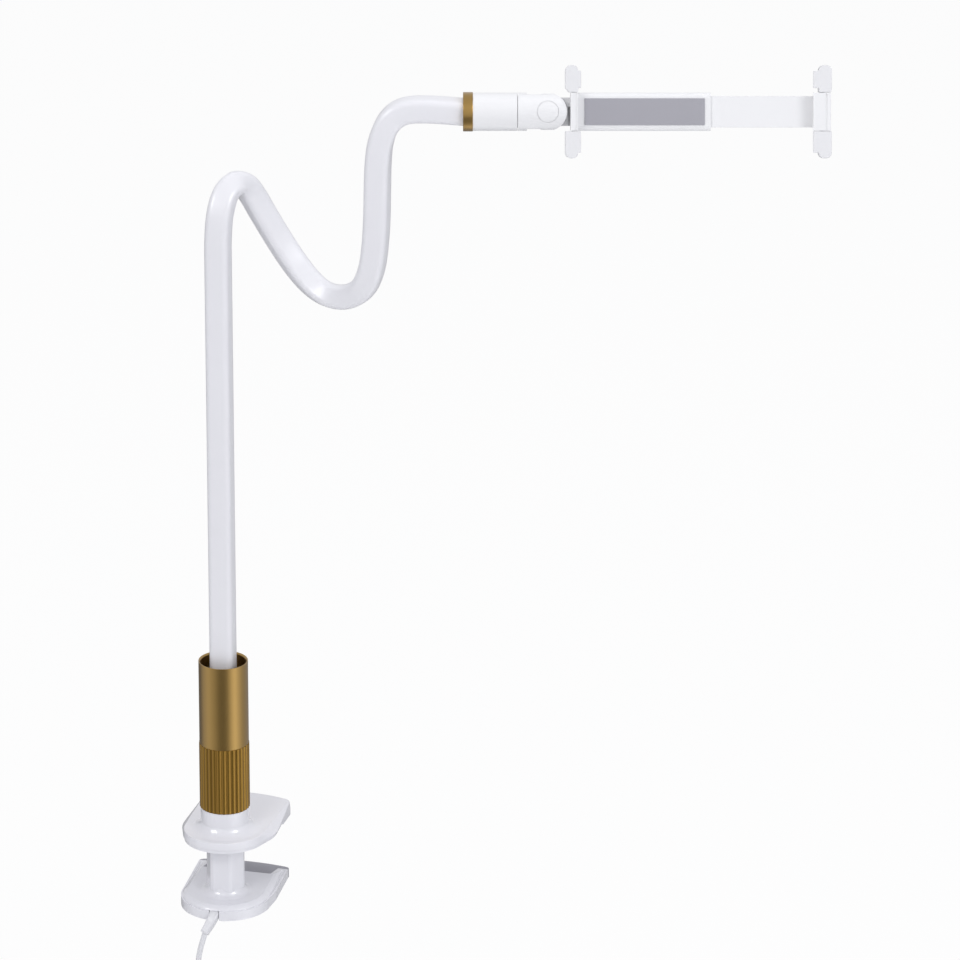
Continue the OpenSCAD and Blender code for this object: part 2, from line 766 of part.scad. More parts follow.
module cord_tie() color(grey) translate(coil_center) rotate([0, -tie_turn, 0]) {
    mid = (coil_min_r + coil_max_r) / 2;
    half_r = (coil_max_r - coil_min_r) / 2 + 0.6;
    half_y = coil_half_w + seat_gap;
    difference() {
        translate([mid - half_r - tie_t, -half_y - tie_t, -tie_w / 2])
            cube([2 * (half_r + tie_t), 2 * (half_y + tie_t), tie_w]);
        translate([mid - half_r, -half_y, -tie_w]) cube([2 * half_r, 2 * half_y, 2 * tie_w]);
    }
}

module at_plug() {
    translate(cord_tail[len(cord_tail) - 1]) children();
}

module plug_body() color(white) at_plug() {
    hull() for (x = [-1, 1]) translate([x * (plug_w / 2 - 2), 0, -plug_l]) {
        translate([0, plug_t / 2 - 2, 0]) cylinder(h = plug_l - 4, r = 2, $fn = 32);
        translate([0, 2 - plug_t / 2, 0]) cylinder(h = plug_l - 4, r = 2, $fn = 32);
        translate([-x * 3, 0, 0]) cylinder(h = plug_l, r = 2, $fn = 32);
    }
}

module plug_shell() color(steel) at_plug() translate([0, 0, -plug_l]) difference() {
    translate([-shell_size.x / 2, -shell_size.y / 2, -shell_size.z]) cube(shell_size);
    translate([-shell_size.x / 2 + shell_wall, -shell_size.y / 2 + shell_wall, -shell_size.z - 1])
        cube([shell_size.x - 2 * shell_wall, shell_size.y - 2 * shell_wall, shell_size.z - 2]);
}

// Upper jaw: shell with the flared boss, keyed on the post, with the knob's snap collar
module upper_jaw() color(white) at_jaws() difference() {
    union() {
        difference() {
            hull() {
                slab(upper_discs, upper_bottom - rear_lip_drop, rear_lip_drop + upper_cover_h);
                slab(upper_face_discs, upper_top - edge_round - 0.1, 0.1);
                slab(inset(upper_face_discs, edge_round * 0.29), upper_top - edge_round * 0.4, 0.05);
                slab(inset(upper_face_discs, edge_round), upper_top - 0.05, 0.05);
            }
            below_skirt();
        }
        translate([0, 0, upper_top - eps]) cylinder(h = boss_h + eps, r = boss_r);
        translate([0, 0, upper_top - eps]) fillet_ring(boss_r - 0.5, boss_fillet_r + 0.5);
        translate([0, 0, boss_top - washer_sink - eps]) cylinder(h = collar_h + washer_sink, r = collar_r);
        translate([0, 0, boss_top + collar_h - bead_h]) cylinder(h = bead_h, r = collar_r + collar_bead);
        for (s = cover_screw_spots) translate([s.x, s.y, upper_seam - 1]) cylinder(h = 2, r = screw_post_r - 0.8);
    }
    translate([0, 0, upper_bottom - 5]) hex_post(60, key_gap);
    translate([0, 0, boss_top - washer_sink]) difference() {
        cylinder(h = 2, r = washer_out_r + 0.1);
        translate([0, 0, -1]) cylinder(h = 4, r = collar_r);
    }
    for (s = cover_screw_spots) translate([s.x, s.y, upper_seam - 2]) cylinder(h = 5.2, r = screw_r + seat_gap);
    upper_pad_shape(tip_gap);
}

// Side view of what lies below the shell: its front ends at the seam, its rear falls to a lip
module below_skirt() {
    far = upper_reach + 5;
    rotate([90, 0, 90]) translate([0, 0, -cut_half_w]) linear_extrude(cut_w) polygon([
        [-60, 0], [-60, upper_seam], [pad_start - 2, upper_seam], [pad_start - 2, upper_bottom],
        [far, upper_bottom - rear_lip_drop], [far, 0]
    ]);
}

module upper_jaw_cover() color(white) at_jaws() difference() {
    intersection() {
        slab(inset(upper_discs, cover_inset), upper_bottom, upper_cover_h);
        translate([-cut_half_w, -50, 0]) cube([cut_w, 50 + pad_start - 2 - tip_gap, 100]);
    }
    translate([0, 0, upper_bottom - 1]) hex_post(60, key_gap + 0.2);
    for (s = cover_screw_spots) translate([s.x, s.y, upper_bottom - 1]) {
        cylinder(h = 20, r = screw_r + seat_gap);
        cylinder(h = 1 + 1.5 + 0.1, r = screw_head_r + 0.2);
        translate([0, 0, upper_cover_h]) cylinder(h = 5, r = screw_post_r - 0.8 + seat_gap);
    }
}

module upper_pad_shape(grow) {
    start = pad_start + 1 - grow;
    intersection() {
        slab(inset(upper_discs, 3 - grow), upper_bottom - 10, 10 + 1.2 + grow);
        translate([-cut_half_w, start, upper_bottom - 10]) cube([cut_w, 60, 40]);
    }
}

module upper_jaw_pad() color(grey) at_jaws() difference() {
    upper_pad_shape(0);
    below_skirt();
}

module cover_screws() color(steel) at_jaws() for (s = cover_screw_spots)
    translate([s.x, s.y, upper_bottom + 1.45]) intersection() {
        machine_screw(4);
        translate([-5, -5, -1.4]) cube([10, 10, 20]);
    }

module thrust_washer() color("whitesmoke") translate([0, 0, boss_top - washer_sink]) difference() {
    cylinder(h = washer_t - 0.2, r = washer_out_r);
    translate([0, 0, -1]) cylinder(h = 4, r = washer_in_r);
}

// Outline of the knob: a circle at the flutes' roots and a round rib between each two
module fluted_outline() {
    circle(knob_root_r + 0.05);
    for (k = [0 : flute_count - 1]) rotate(360 * (k + 0.5) / flute_count)
        translate([knob_r - rib_r, 0]) circle(rib_r, $fn = 32);
}

// Fluted knob: it turns on the jaw's snap collar and carries the nut and the sleeve
module grip_knob() color(gold) difference() {
    translate([0, 0, boss_top + pass_gap]) linear_extrude(knob_h - pass_gap) fluted_outline();
    translate([0, 0, boss_top - 1]) cylinder(h = knob_h + 2, r = knob_bore_r);
    translate([0, 0, boss_top - 1]) cylinder(h = 1 + collar_h - bead_h - 0.2, r = collar_r + run_gap);
    translate([0, 0, boss_top + collar_h - bead_h - 0.2]) cylinder(h = bead_h + 0.6, r = collar_r + collar_bead + 0.1);
    translate([0, 0, nut_bottom - seat_gap]) cylinder(h = 50, r = nut_flange_r + seat_gap);
    translate([0, 0, knob_top - sleeve_seat_h]) cylinder(h = 50, r = sleeve_seat_r + seat_gap);
}

module drive_nut() color("goldenrod") translate([0, 0, nut_bottom]) difference() {
    union() {
        cylinder(h = nut_flange_t, r = nut_flange_r);
        cylinder(h = nut_h, r = nut_r);
    }
    translate([0, 0, -1]) cylinder(h = nut_h + 2, r = stem_r + run_gap);
}

module sleeve() color(gold) difference() {
    union() {
        translate([0, 0, knob_top]) cylinder(h = sleeve_h, r = sleeve_r);
        translate([0, 0, knob_top - sleeve_seat_h + seat_gap]) cylinder(h = sleeve_seat_h, r = sleeve_seat_r);
    }
    translate([0, 0, knob_top - 20]) cylinder(h = sleeve_h + 40, r = sleeve_seat_r - 1.1);
    translate([0, 0, knob_top + 2]) cylinder(h = sleeve_h, r = sleeve_in_r);
    translate([0, 0, sleeve_top - 1]) cylinder(h = 1 + eps, r1 = sleeve_in_r, r2 = sleeve_in_r + 0.7);
}

// Knuckle: round collar at the swivel, flattened neck, and an eye split for the tongue
module knuckle() color(white) at_head() difference() {
    intersection() {
        along_x(seam_x - spigot_l, pivot_x + head_r - seam_x + spigot_l, head_r);
        union() {
            along_x(knuckle_x, knuckle_collar - pass_gap, head_r);
            along_x(seam_x - spigot_l, spigot_l + pass_gap + eps, spigot_r);
            translate([knuckle_x, -20, -neck_half_h]) cube([pivot_x - knuckle_x, 40, 2 * neck_half_h]);
            along_y(pivot_x, -20, 40, head_r);
        }
    }
    translate([slot_root_x, -eye_slot, -30]) cube([60, 2 * eye_slot, 60]);
    along_x(seam_x - spigot_l - 1, spigot_l + pass_gap + swivel_bite + 1 + seat_gap, swivel_r + seat_gap);
    along_y(pivot_x, -30, 60, pivot_r + seat_gap);
    for (end = [0, 1]) mirror([0, end, 0]) {
        along_y(pivot_x, cap_seat, 9, cap_r + 0.15);
        along_y(pivot_x, cap_seat - pin_head_t - 0.1, 9, pin_head_r + 0.15);
    }
}

module swivel_screw() color(steel) at_head() {
    under_head = socket_cavity_x - swivel_washer_t - pass_gap;
    along_x(under_head - swivel_head_t, swivel_head_t, swivel_head_r);
    along_x(under_head - eps, knuckle_x + swivel_bite - under_head, swivel_r);
}

module swivel_washer() color(steel) at_head() difference() {
    along_x(socket_cavity_x - swivel_washer_t - pass_gap, swivel_washer_t, swivel_head_r + 1);
    along_x(0, 100, swivel_r + run_gap);
}

module pivot_pin() color(steel) at_head() {
    head_y = cap_seat - pin_head_t;
    along_y(pivot_x, -head_y, 2 * head_y, pivot_r);
    for (end = [0, 1]) mirror([0, end, 0]) along_y(pivot_x, head_y - eps, pin_head_t, pin_head_r);
}

// Caps over the pin's heads, cut to the knuckle's own round
module pivot_caps() color(white) at_head() intersection() {
    along_x(knuckle_x, pivot_x + head_r - knuckle_x, head_r);
    for (end = [0, 1]) mirror([0, end, 0]) along_y(pivot_x, cap_seat + seat_gap, 9, cap_r);
}

module tilt_washers() color("whitesmoke") at_head() for (end = [0, 1]) mirror([0, end, 0]) difference() {
    along_y(pivot_x, tongue_t / 2, tilt_washer_t, tongue_half_h - 1.5);
    along_y(pivot_x, 0, 10, pivot_r + run_gap);
}

module bar_profile() {
    hull() for (z = [-1, 1]) translate([0, z * (bar_h / 2 - bar_corner_r)]) {
        translate([bar_front + bar_corner_r, 0]) circle(bar_corner_r, $fn = 32);
        translate([bar_back - bar_corner_r, 0]) circle(bar_corner_r, $fn = 32);
    }
}

module holder_screw_holes() {
    for (z = [-1, 1]) translate([housing_x + cover_screw_x, 0, z * cover_screw_z]) rotate([-90, 0, 0])
        cylinder(h = 40, r = screw_r + seat_gap);
}

// Back bar with the left jaw and the tongue that tilts in the knuckle: open at its back and right end
module holder_body() color(white) at_head() difference() {
    union() {
        translate([housing_x, 0, 0]) rotate([90, 0, 90]) linear_extrude(housing_l) bar_profile();
        along_y(pivot_x, -tongue_t / 2, tongue_t, tongue_half_h);
        translate([pivot_x, -tongue_t / 2, -tongue_half_h]) cube([housing_x - pivot_x + 1, tongue_t, 2 * tongue_half_h]);
        translate([grip_x, 0, 0]) jaw_frame(upright_t, 0, -2);
    }
    along_y(pivot_x, -20, 40, pivot_r + run_gap);
    translate([housing_x - slit_w - 0.2, -tongue_t, -bar_h]) cube([slit_w, tongue_t, bar_h + slit_top]);
    translate([housing_x + end_wall, bar_front + bar_wall, -bar_h / 2 + bar_wall])
        cube([housing_l, bar_t, bar_h - 2 * bar_wall]);
    translate([housing_x + cover_start, bar_back - cover_t, -bar_h / 2 + bar_wall])
        cube([housing_l, bar_t, bar_h - 2 * bar_wall]);
    holder_screw_holes();
}

module holder_cover() color(white) at_head() difference() {
    intersection() {
        translate([housing_x + cover_start + seat_gap, bar_back - cover_t, -bar_h / 2 + bar_wall + seat_gap])
            cube([housing_l - cover_start - seat_gap, cover_t, bar_h - 2 * bar_wall - 2 * seat_gap]);
        translate([housing_x, 0, 0]) rotate([90, 0, 90]) linear_extrude(housing_l) bar_profile();
    }
    holder_screw_holes();
}

module holder_screws() color(steel) at_head() for (z = [-1, 1])
    translate([housing_x + cover_screw_x, bar_back, z * cover_screw_z]) rotate([90, 0, 0]) machine_screw(cover_t + 3);

module back_pad() color(grey) at_head()
    translate([grip_x + back_pad_inset, bar_front - back_pad_t, -bar_h / 2 + bar_corner_r])
        cube([housing_l - upright_t - 2 * back_pad_inset, back_pad_t, bar_h - 2 * bar_corner_r]);

// One jaw, its gripping plane at x 0: middle upright with a lip, and the plate inside the pads
module jaw_frame(t, reach, groove_x) {
    difference() {
        translate([-t - face_gap, lip_front, -bar_h / 2]) cube([t, bar_back - bar_corner_r - lip_front, bar_h]);
        translate([groove_x, lip_front - 1, -bar_h]) cube([groove_w, 1 + groove_depth, 2 * bar_h]);
    }
    if (reach > 0) translate([-t - face_gap, lip_front, -bar_h / 2]) cube([t + face_gap + reach, lip_t, bar_h]);
    translate([-plate_x - plate_t, lip_front + plate_inset, -pad_top + plate_inset])
        cube([plate_t, pad_back - lip_front - 2 * plate_inset, 2 * (pad_top - plate_inset)]);
}

// A rubber pad over one end of the jaw's plate: round outside, with a lip in front of the phone
module pad(reach, neck, taper) {
    low = bar_h / 2 + pad_gap;
    foot = low + neck;
    difference() {
        union() {
            translate([0, pad_back, 0]) rotate([90, 0, 0]) linear_extrude(pad_back - lip_front) hull() {
                translate([-pad_t, foot]) square([pad_t, 1]);
                translate([taper - pad_t, low]) square([pad_t - taper, 1]);
                translate([-pad_t + pad_round, pad_top - pad_round]) circle(pad_round, $fn = 32);
                translate([-pad_round, pad_top - pad_round]) circle(pad_round, $fn = 32);
            }
            translate([-1, lip_front, foot]) cube([1 + reach, lip_t, pad_top - foot - pad_round]);
        }
        translate([-plate_x - plate_t - seat_gap, lip_front + plate_inset - seat_gap, 0]) cube([
            plate_t + 2 * seat_gap, pad_back - lip_front - 2 * (plate_inset - seat_gap),
            pad_top - plate_inset + seat_gap
        ]);
    }
}

module at_left_jaw() {
    at_head() translate([grip_x, 0, 0]) children();
}

module at_right_jaw() {
    at_head() translate([far_grip_x, 0, 0]) mirror([1, 0, 0]) children();
}

module left_top_pad() color("gainsboro") at_left_jaw() pad(lip_reach, pad_neck, pad_taper);

module left_bottom_pad() color("gainsboro") at_left_jaw() mirror([0, 0, 1]) pad(lip_reach, 0, 0);

// Bar that slides in the back bar, with the right jaw on its end
module sliding_jaw() color(white) {
    at_head() difference() {
        translate([slider_x, slider_y, -slider_h / 2]) cube([slider_l + far_upright_t, slider_t, slider_h]);
        translate([slider_x + shoe_from_end, slider_y + slider_t - shoe_sink, -shoe_size.z / 2]) cube(shoe_size);
    }
    at_right_jaw() jaw_frame(far_upright_t, far_lip_reach, -5.2);
}

module right_top_pad() color("gainsboro") at_right_jaw() pad(far_lip_reach, pad_neck, pad_foot);

module right_bottom_pad() color("gainsboro") at_right_jaw() mirror([0, 0, 1]) pad(far_lip_reach, 0, 0);

module friction_shoe() color("dimgray") at_head()
    translate([slider_x + shoe_from_end, slider_y + slider_t - shoe_sink, -shoe_size.z / 2]) cube(shoe_size);

lower_jaw();
light_cover();
led_board();
leds();
lower_jaw_pad();
base_screws();
clamp_screw();
foot_ferrule();
arm_core();
arm_skin();
head_ferrule();
head_ring();
head_socket();
strain_relief();
cord();
cord_coil();
cord_tie();
plug_body();
plug_shell();
upper_jaw();
upper_jaw_cover();
upper_jaw_pad();
cover_screws();
thrust_washer();
grip_knob();
drive_nut();
sleeve();
knuckle();
swivel_screw();
swivel_washer();
pivot_pin();
pivot_caps();
tilt_washers();
holder_body();
holder_cover();
holder_screws();
back_pad();
left_top_pad();
left_bottom_pad();
sliding_jaw();
right_top_pad();
right_bottom_pad();
friction_shoe();
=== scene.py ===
import json
import math

import bmesh
import bpy
from mathutils import Matrix, Vector


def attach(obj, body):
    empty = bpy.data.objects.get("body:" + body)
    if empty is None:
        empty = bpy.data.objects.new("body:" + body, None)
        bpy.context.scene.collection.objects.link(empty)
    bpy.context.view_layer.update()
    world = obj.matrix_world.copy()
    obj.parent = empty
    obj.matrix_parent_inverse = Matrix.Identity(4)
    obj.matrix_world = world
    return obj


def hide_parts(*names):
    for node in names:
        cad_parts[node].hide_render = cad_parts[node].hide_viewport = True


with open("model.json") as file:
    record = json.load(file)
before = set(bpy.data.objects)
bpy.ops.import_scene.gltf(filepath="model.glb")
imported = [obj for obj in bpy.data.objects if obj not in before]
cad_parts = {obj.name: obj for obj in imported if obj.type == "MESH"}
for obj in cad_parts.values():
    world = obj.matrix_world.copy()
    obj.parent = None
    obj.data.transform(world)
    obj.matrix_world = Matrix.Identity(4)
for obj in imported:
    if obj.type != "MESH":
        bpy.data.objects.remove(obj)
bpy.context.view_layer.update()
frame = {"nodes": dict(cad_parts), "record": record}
nodes = frame["nodes"]
bodies = frame["record"]["behaviour"]["bodies"]
bodyOf = {name: body for body, names in bodies.items() for name in names}
slotOf = {row["node"]: row["material_slot"] for row in frame["record"]["subparts"]}
print("frame loaded,", len(nodes), "nodes")


def mm(*values):
    return Vector(values) / 1000


def linkObject(name, data):
    made = bpy.data.objects.new(name, data)
    bpy.context.scene.collection.objects.link(made)
    return made


def meshFrom(bm, name):
    mesh = bpy.data.meshes.new(name)
    bm.to_mesh(mesh)
    bm.free()
    return mesh


def finishObject(name, data, body, material, replaced):
    # object at the origin, its place in its mesh or curve
    made = linkObject(name, data)
    made.data.materials.append(material)
    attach(made, body)
    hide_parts(*replaced)
    return made


# seen from the photo's side: place in mm, the look down in degrees, the farthest distance in m
view = {"lens": 300, "sensor": 36, "farthest": 40,
        "place": (162.304, -4668.708, 2101.122), "lookDown": 21.3}


def makeCamera(plan):
    data = bpy.data.cameras.new("photoCamera")
    data.lens = plan["lens"]
    data.sensor_width = plan["sensor"]
    data.clip_end = plan["farthest"]
    camera = linkObject("photoCamera", data)
    camera.location = mm(*plan["place"])
    camera.rotation_euler = (math.radians(90 - plan["lookDown"]), 0, 0)
    bpy.context.scene.camera = camera


makeCamera(view)
print("camera placed")


def addNode(tree, kind, place, **values):
    # a value goes to the node's property of that name, or else to its input
    node = tree.nodes.new(kind)
    node.location = place
    for key, value in values.items():
        if hasattr(node, key):
            setattr(node, key, value)
        else:
            node.inputs[key].default_value = value
    return node


def groupTree(name, inputs, outputs):
    tree = bpy.data.node_groups.new(name, "ShaderNodeTree")
    for label, kind, value in inputs:
        socket = tree.interface.new_socket(name=label, in_out="INPUT", socket_type=kind)
        socket.default_value = value
    for label, kind in outputs:
        tree.interface.new_socket(name=label, in_out="OUTPUT", socket_type=kind)
    given = addNode(tree, "NodeGroupInput", (-800, 0))
    return tree, given, addNode(tree, "NodeGroupOutput", (600, 0))


# moulded plastic and rubber: broad mottling of colour and gloss, and a fine grain
grainPlan = {"mottleScale": 45.0, "mottleDetail": 4.0, "grainDetail": 3.0, "grainRoughness": 0.6,
             "glossSwing": 3.0}


def makeMouldGrain(plan):
    tree, given, out = groupTree("mouldGrain", [
        ("Color", "NodeSocketColor", (0.8, 0.8, 0.8, 1)), ("Roughness", "NodeSocketFloat", 0.4),
        ("Grain Scale", "NodeSocketFloat", 2500.0), ("Grain Depth", "NodeSocketFloat", 0.1),
        ("Mottle", "NodeSocketFloat", 0.02),
    ], [("Color", "NodeSocketColor"), ("Roughness", "NodeSocketFloat"),
        ("Height", "NodeSocketFloat")])
    link = tree.links.new
    coord = addNode(tree, "ShaderNodeTexCoord", (-1000, -300))
    broad = addNode(tree, "ShaderNodeTexNoise", (-600, 200), Scale=plan["mottleScale"],
                    Detail=plan["mottleDetail"])
    fine = addNode(tree, "ShaderNodeTexNoise", (-600, -200), Detail=plan["grainDetail"],
                   Roughness=plan["grainRoughness"])
    link(coord.outputs["Object"], broad.inputs["Vector"])
    link(coord.outputs["Object"], fine.inputs["Vector"])
    link(given.outputs["Grain Scale"], fine.inputs["Scale"])
    swing = addNode(tree, "ShaderNodeMath", (-400, 200), operation="SUBTRACT")
    swing.inputs[1].default_value = 0.5
    link(broad.outputs["Fac"], swing.inputs[0])
    part = addNode(tree, "ShaderNodeMath", (-200, 200), operation="MULTIPLY")
    link(swing.outputs[0], part.inputs[0])
    link(given.outputs["Mottle"], part.inputs[1])
    lift = addNode(tree, "ShaderNodeMath", (0, 260), operation="ADD")
    lift.inputs[1].default_value = 1.0
    link(part.outputs[0], lift.inputs[0])
    tint = addNode(tree, "ShaderNodeVectorMath", (200, 260), operation="SCALE")
    link(given.outputs["Color"], tint.inputs[0])
    link(lift.outputs[0], tint.inputs["Scale"])
    link(tint.outputs[0], out.inputs["Color"])
    gloss = addNode(tree, "ShaderNodeMath", (200, 40), operation="MULTIPLY_ADD")
    link(part.outputs[0], gloss.inputs[0])
    gloss.inputs[1].default_value = plan["glossSwing"]
    link(given.outputs["Roughness"], gloss.inputs[2])
    link(gloss.outputs[0], out.inputs["Roughness"])
    depth = addNode(tree, "ShaderNodeMath", (200, -200), operation="MULTIPLY")
    link(fine.outputs["Fac"], depth.inputs[0])
    link(given.outputs["Grain Depth"], depth.inputs[1])
    link(depth.outputs[0], out.inputs["Height"])
    return tree


# satin metal: fine lines round the piece's upright axis, and slow clouds in its colour and gloss
linesPlan = {"stretch": (0.05, 0.05, 1.0), "lineDetail": 2.0, "cloudScale": 60.0,
             "cloudDetail": 3.0, "shade": (0.96, 1.04)}


def makeTurnedLines(plan):
    tree, given, out = groupTree("turnedLines", [
        ("Color", "NodeSocketColor", (0.5, 0.4, 0.2, 1)), ("Roughness", "NodeSocketFloat", 0.35),
        ("Line Scale", "NodeSocketFloat", 1500.0), ("Line Depth", "NodeSocketFloat", 0.1),
    ], [("Color", "NodeSocketColor"), ("Roughness", "NodeSocketFloat"),
        ("Height", "NodeSocketFloat")])
    link = tree.links.new
    coord = addNode(tree, "ShaderNodeTexCoord", (-1000, -300))
    stretch = addNode(tree, "ShaderNodeMapping", (-800, -300), Scale=plan["stretch"])
    link(coord.outputs["Object"], stretch.inputs["Vector"])
    lines = addNode(tree, "ShaderNodeTexNoise", (-600, -200), Detail=plan["lineDetail"])
    link(stretch.outputs["Vector"], lines.inputs["Vector"])
    link(given.outputs["Line Scale"], lines.inputs["Scale"])
    clouds = addNode(tree, "ShaderNodeTexNoise", (-600, 200), Scale=plan["cloudScale"],
                     Detail=plan["cloudDetail"])
    link(coord.outputs["Object"], clouds.inputs["Vector"])
    shade = addNode(tree, "ShaderNodeMapRange", (-300, 220))
    shade.inputs["To Min"].default_value, shade.inputs["To Max"].default_value = plan["shade"]
    link(clouds.outputs["Fac"], shade.inputs["Value"])
    tint = addNode(tree, "ShaderNodeVectorMath", (0, 260), operation="SCALE")
    link(given.outputs["Color"], tint.inputs[0])
    link(shade.outputs["Result"], tint.inputs["Scale"])
    link(tint.outputs[0], out.inputs["Color"])
    gloss = addNode(tree, "ShaderNodeMath", (0, 0), operation="MULTIPLY")
    link(shade.outputs["Result"], gloss.inputs[0])
    link(given.outputs["Roughness"], gloss.inputs[1])
    link(gloss.outputs[0], out.inputs["Roughness"])
    depth = addNode(tree, "ShaderNodeMath", (0, -200), operation="MULTIPLY")
    link(lines.outputs["Fac"], depth.inputs[0])
    link(given.outputs["Line Depth"], depth.inputs[1])
    link(depth.outputs[0], out.inputs["Height"])
    return tree


mouldGrain = makeMouldGrain(grainPlan)
turnedLines = makeTurnedLines(linesPlan)


def makeMaterial(name, group, values, metallic=0.0, coat=0.0, coatRoughness=0.03,
                 bump=0.05, bumpDistance=0.0002):
    material = bpy.data.materials.new(name)
    material.use_nodes = True
    tree = material.node_tree
    shader = tree.nodes["Principled BSDF"]
    shader.inputs["Metallic"].default_value = metallic
    shader.inputs["Coat Weight"].default_value = coat
    shader.inputs["Coat Roughness"].default_value = coatRoughness
    look = addNode(tree, "ShaderNodeGroup", (-500, 200), node_tree=group)
    for key, value in values.items():
        look.inputs[key].default_value = (*value, 1) if key == "Color" else value
    relief = addNode(tree, "ShaderNodeBump", (-250, -200), Strength=bump, Distance=bumpDistance)
    tree.links.new(look.outputs["Color"], shader.inputs["Base Color"])
    tree.links.new(look.outputs["Roughness"], shader.inputs["Roughness"])
    tree.links.new(look.outputs["Height"], relief.inputs["Height"])
    tree.links.new(relief.outputs["Normal"], shader.inputs["Normal"])
    return material


looks = {
    "shell": makeMaterial(
        "glossyWhiteShell", mouldGrain,
        {"Color": (0.83, 0.828, 0.862), "Roughness": 0.22, "Mottle": 0.015}, coat=0.3),
    "head": makeMaterial(
        "whiteHeadPlastic", mouldGrain,
        {"Color": (0.86, 0.86, 0.865), "Roughness": 0.34, "Mottle": 0.015}),
    "skin": makeMaterial(
        "softWhiteSkin", mouldGrain,
        {"Color": (0.83, 0.828, 0.855), "Roughness": 0.33, "Mottle": 0.02, "Grain Depth": 0.2}),
    "gold": makeMaterial(
        "satinGold", turnedLines, {"Color": (0.385, 0.232, 0.052), "Roughness": 0.34},
        metallic=1.0, coat=1.0, coatRoughness=0.34),
    # the knob's gold is rougher and less coated than the sleeve's, and its darker colour is painted
    # shade for the shadow in its flutes
    "flutedGoldPaintedShade": makeMaterial(
        "flutedGoldPaintedShade", turnedLines, {"Color": (0.32, 0.180, 0.026), "Roughness": 0.38},
        metallic=1.0, coat=0.4, coatRoughness=0.34),
    "brass": makeMaterial(
        "machinedBrass", turnedLines, {"Color": (0.60, 0.42, 0.16), "Roughness": 0.28},
        metallic=1.0),
    "steel": makeMaterial(
        "satinSteel", turnedLines, {"Color": (0.46, 0.46, 0.48), "Roughness": 0.3},
        metallic=1.0),
    "greyRubber": makeMaterial(
        "greyRubber", mouldGrain,
        {"Color": (0.36, 0.355, 0.39), "Roughness": 0.6, "Mottle": 0.05, "Grain Depth": 0.6},
        bump=0.15),
    "padRubber": makeMaterial(
        "whitePadRubber", mouldGrain,
        {"Color": (0.79, 0.79, 0.80), "Roughness": 0.5, "Mottle": 0.03, "Grain Depth": 0.4},
        bump=0.1),
    "cord": makeMaterial(
        "whiteCordJacket", mouldGrain,
        {"Color": (0.78, 0.78, 0.80), "Roughness": 0.42, "Mottle": 0.02}),
    "board": makeMaterial(
        "greenBoard", mouldGrain,
        {"Color": (0.03, 0.15, 0.06), "Roughness": 0.45, "Mottle": 0.1}),
    "lamp": makeMaterial(
        "yellowLampFace", mouldGrain,
        {"Color": (0.80, 0.65, 0.18), "Roughness": 0.25, "Mottle": 0.05}),
    "washer": makeMaterial(
        "slipperyWasher", mouldGrain,
        {"Color": (0.62, 0.62, 0.60), "Roughness": 0.4, "Mottle": 0.02}),
}
slotLook = {
    "white_shell": "shell", "white_head": "head", "arm_skin": "skin", "gold_metal": "gold",
    "brass_nut": "brass", "steel": "steel", "grey_rubber": "greyRubber",
    "holder_rubber": "padRubber", "cord_jacket": "cord", "board": "board", "led_lens": "lamp",
    "washer_plastic": "washer",
}
lookOf = {name: looks[slotLook[slot]] for name, slot in slotOf.items()}
# the knob takes the gold darkened by painted shade
lookOf["grip_knob"] = looks["flutedGoldPaintedShade"]
print("materials made")


def dressNodes():
    for name, node in nodes.items():
        node.data.materials.clear()
        node.data.materials.append(lookOf[name])


dressNodes()
print("nodes dressed")


# the light's cord, route in mm: from the relief down into a tied coil, and out of it to the plug;
# its length and diameter in m
cordPlan = {
    "radius": 1.8, "innerR": 20.4, "columns": 5, "centre": (6.8, -34.0, -71.0), "pitch": 3.62,
    "perTurn": 48, "stepShare": 0.14, "roundness": 3,
    "down": [(-12, -32.7, -14), (-12.7, -33.2, -16), (-13.5, -33.65, -18.5), (-14.2, -33.9, -21),
             (-15.1, -34, -24), (-15.9, -34, -27.5), (-16.6, -34, -31), (-17, -34, -35),
             (-17.2, -34, -40), (-17.2, -34, -48), (-17.2, -34, -60)],
    "tail": [(-13.6, -37.62, -76), (-13.6, -37.7, -86), (-13.6, -37.7, -100),
             (-13.6, -37.7, -114)],
    "length": 1.5, "diameter": 0.0036,
}


def coilPoints(plan):
    # outer layer away from the camera, inner layer back, each turn flat but for a short step
    cx, cy, cz = plan["centre"]
    outerR = plan["innerR"] + 2 * plan["radius"]
    count, perTurn, stepShare = plan["columns"], plan["perTurn"], plan["stepShare"]
    points = []
    for k in range(2 * count * perTurn + 1):
        turn = min(k // perTurn, 2 * count - 1)
        part = k / perTurn - turn
        ease = max(0.0, (part - 1 + stepShare) / stepShare)
        ease = ease * ease * (3 - 2 * ease)
        column = turn + ease if turn < count - 1 else count - 1.0
        radius = outerR
        if turn == count - 1:
            radius = outerR - 2 * plan["radius"] * ease
        if turn >= count:
            radius = plan["innerR"]
            column = 2 * count - 1 - turn - ease
        angle = math.pi + 2 * math.pi * k / perTurn
        points.append((cx + radius * math.cos(angle), cy + plan["pitch"] * column,
                       cz + radius * math.sin(angle)))
    return points


def makeCord(plan):
    curve = bpy.data.curves.new("lightCord", "CURVE")
    curve.dimensions = "3D"
    line = [mm(*p) for p in plan["down"] + coilPoints(plan) + plan["tail"]]
    spline = curve.splines.new("POLY")
    spline.points.add(len(line) - 1)
    for point, place in zip(spline.points, line):
        point.co = (*place, 1)
    spline.use_smooth = True
    curve.bevel_depth = plan["diameter"] / 2
    curve.bevel_resolution = plan["roundness"]
    curve.use_fill_caps = True
    return finishObject("lightCord", curve, "base", looks["cord"],
                        ["cord", "cord_coil"])


lightCord = makeCord(cordPlan)
print("cord wound")


def smoothByAngle(mesh, degrees):
    for face in mesh.polygons:
        face.use_smooth = True
    mesh.set_sharp_from_angle(angle=math.radians(degrees))


